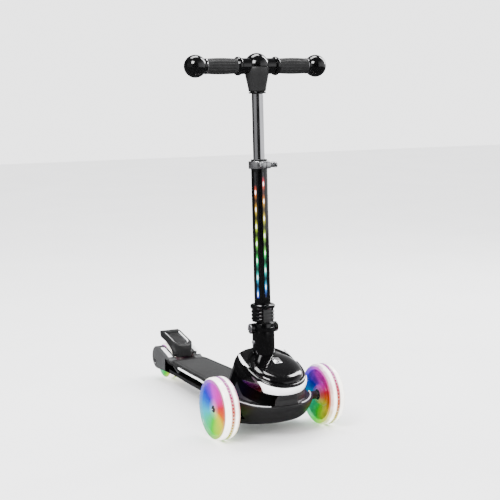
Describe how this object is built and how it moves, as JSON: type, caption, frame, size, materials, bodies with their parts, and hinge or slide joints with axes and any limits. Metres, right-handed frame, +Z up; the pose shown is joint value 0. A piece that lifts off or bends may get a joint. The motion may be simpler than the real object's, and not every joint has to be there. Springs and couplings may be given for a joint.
{
  "type": "kick scooter",
  "caption": "Child's three-wheel kick scooter: folding stem with height-adjustable T handlebar, lean-steered front wheels, wide nose with crescent light, footboard and rear fender brake.",
  "frame": {"origin": "on the floor under the middle of the bounding box", "axes": "+Z up, -Y towards the front wheels, +X to the right-hand grip as seen from the front"},
  "size_m": [0.3, 0.5883, 0.7223],
  "materials": {
    "gloss_black": "high gloss black moulded plastic",
    "satin_black": "fine-grained satin black plastic",
    "grey_mat": "dark grey ribbed rubber mat",
    "grip_rubber": "dark grey soft rubber with flutes",
    "stem_paint": "gloss black powder coat",
    "chrome": "polished chrome",
    "silver": "satin aluminium",
    "steel": "turned steel",
    "white_light": "white translucent light diffuser",
    "led_strip": "clear strip over a row of coloured lights",
    "wheel_clear": "clear cast polyurethane lit from inside",
    "wheel_core": "translucent wheel core with coloured lights",
    "arm_grey": "light grey satin plastic",
    "battery_grey": "plain moulded plastic"
  },
  "bodies": {
    "deck": {"deck_frame": "satin_black", "grip_mat": "grey_mat", "side_trim_left": "white_light", "side_trim_right": "white_light", "tail_strip_left": "white_light", "tail_strip_right": "white_light", "head_cover": "gloss_black", "head_puck": "gloss_black", "crescent_light": "white_light", "battery_box": "battery_grey", "stem_socket": "gloss_black", "fold_pin": "steel", "kingpin_left": "steel", "kingpin_right": "steel", "steer_bush_left": "battery_grey", "steer_bush_right": "battery_grey", "rear_axle": "steel", "fender_pin": "steel", "fender_spring": "steel"},
    "lock_button": {"lock_button": "silver"},
    "fender": {"brake_fender": "gloss_black", "fender_strip": "white_light"},
    "knuckle_left": {"knuckle_left": "satin_black", "front_axle_left": "steel"},
    "knuckle_right": {"knuckle_right": "satin_black", "front_axle_right": "steel"},
    "tie_rod": {"tie_rod": "steel"},
    "front_wheel_left": {"core_left": "wheel_core", "tyre_left": "wheel_clear", "bearing_inner_left": "steel", "bearing_outer_left": "steel", "hub_cap_left": "silver"},
    "front_wheel_right": {"core_right": "wheel_core", "tyre_right": "wheel_clear", "bearing_inner_right": "steel", "bearing_outer_right": "steel", "hub_cap_right": "silver"},
    "rear_wheel": {"rear_core": "wheel_core", "rear_tyre": "wheel_clear", "rear_bearing_left": "steel", "rear_bearing_right": "steel"},
    "stem": {"stem_foot": "gloss_black", "stem_tube": "stem_paint", "led_strip_left": "led_strip", "led_strip_front": "led_strip", "led_strip_right": "led_strip", "clamp_band": "silver", "clamp_bolt": "steel", "tube_bush": "satin_black"},
    "collar": {"lock_collar": "gloss_black"},
    "lever": {"clamp_lever": "silver"},
    "handlebar": {"inner_tube": "chrome", "tee_head": "satin_black", "dome_cap": "gloss_black", "bar_tube": "steel", "grip_left": "grip_rubber", "grip_right": "grip_rubber", "ball_end_left": "gloss_black", "ball_end_right": "gloss_black"}
  },
  "joints": [
    {"name": "front_wheel_left_spin", "type": "hinge", "parent": "knuckle_left", "child": "front_wheel_left", "pos_m": [-0.1136, -0.21825, 0.06], "axis": [1, 0, 0], "continuous": true},
    {"name": "front_wheel_right_spin", "type": "hinge", "parent": "knuckle_right", "child": "front_wheel_right", "pos_m": [0.1136, -0.21825, 0.06], "axis": [1, 0, 0], "continuous": true},
    {"name": "rear_wheel_spin", "type": "hinge", "parent": "deck", "child": "rear_wheel", "pos_m": [0, 0.25425, 0.04], "axis": [1, 0, 0], "continuous": true},
    {"name": "steer", "type": "hinge", "parent": "deck", "child": "knuckle_left", "pos_m": [-0.074, -0.21825, 0.05], "axis": [0, -0.6428, 0.766], "range_deg": [-10, 10], "stiffness_Nm_per_rad": 3},
    {"name": "steer_right", "type": "hinge", "parent": "deck", "child": "knuckle_right", "pos_m": [0.074, -0.21825, 0.05], "axis": [0, -0.6428, 0.766], "range_deg": [-10, 10], "stiffness_Nm_per_rad": 3},
    {"name": "tie_rod_turn", "type": "hinge", "parent": "knuckle_left", "child": "tie_rod", "pos_m": [-0.074, -0.20446, 0.06157], "axis": [0, -0.6428, 0.766], "range_deg": [-10, 10]},
    {"name": "stem_fold", "type": "hinge", "parent": "deck", "child": "stem", "pos_m": [0, -0.18075, 0.197], "axis": [-1, 0, 0], "range_deg": [0, 90]},
    {"name": "collar_slide", "type": "slide", "parent": "stem", "child": "collar", "axis": [0, 0.0553, 0.9985], "range_m": [0, 0.012], "stiffness_N_per_m": 220, "springref_m": -0.004},
    {"name": "lever_turn", "type": "hinge", "parent": "stem", "child": "lever", "pos_m": [0.0165, -0.18903, 0.51219], "axis": [0, 0.0553, 0.9985], "range_deg": [-90, 0]},
    {"name": "bar_slide", "type": "slide", "parent": "stem", "child": "handlebar", "axis": [0, 0.0553, 0.9985], "range_m": [-0.1, 0]},
    {"name": "button_press", "type": "slide", "parent": "deck", "child": "lock_button", "axis": [1, 0, 0], "range_m": [0, 0.002], "stiffness_N_per_m": 400, "springref_m": -0.001},
    {"name": "brake_press", "type": "hinge", "parent": "deck", "child": "fender", "pos_m": [0, 0.18375, 0.0705], "axis": [1, 0, 0], "range_deg": [-4, 0], "stiffness_Nm_per_rad": 6, "springref_deg": 3.44}
  ],
  "couplings": [
    {"joint": "steer_right", "follows": "steer", "ratio": 1},
    {"joint": "tie_rod_turn", "follows": "steer", "ratio": -1}
  ]
}
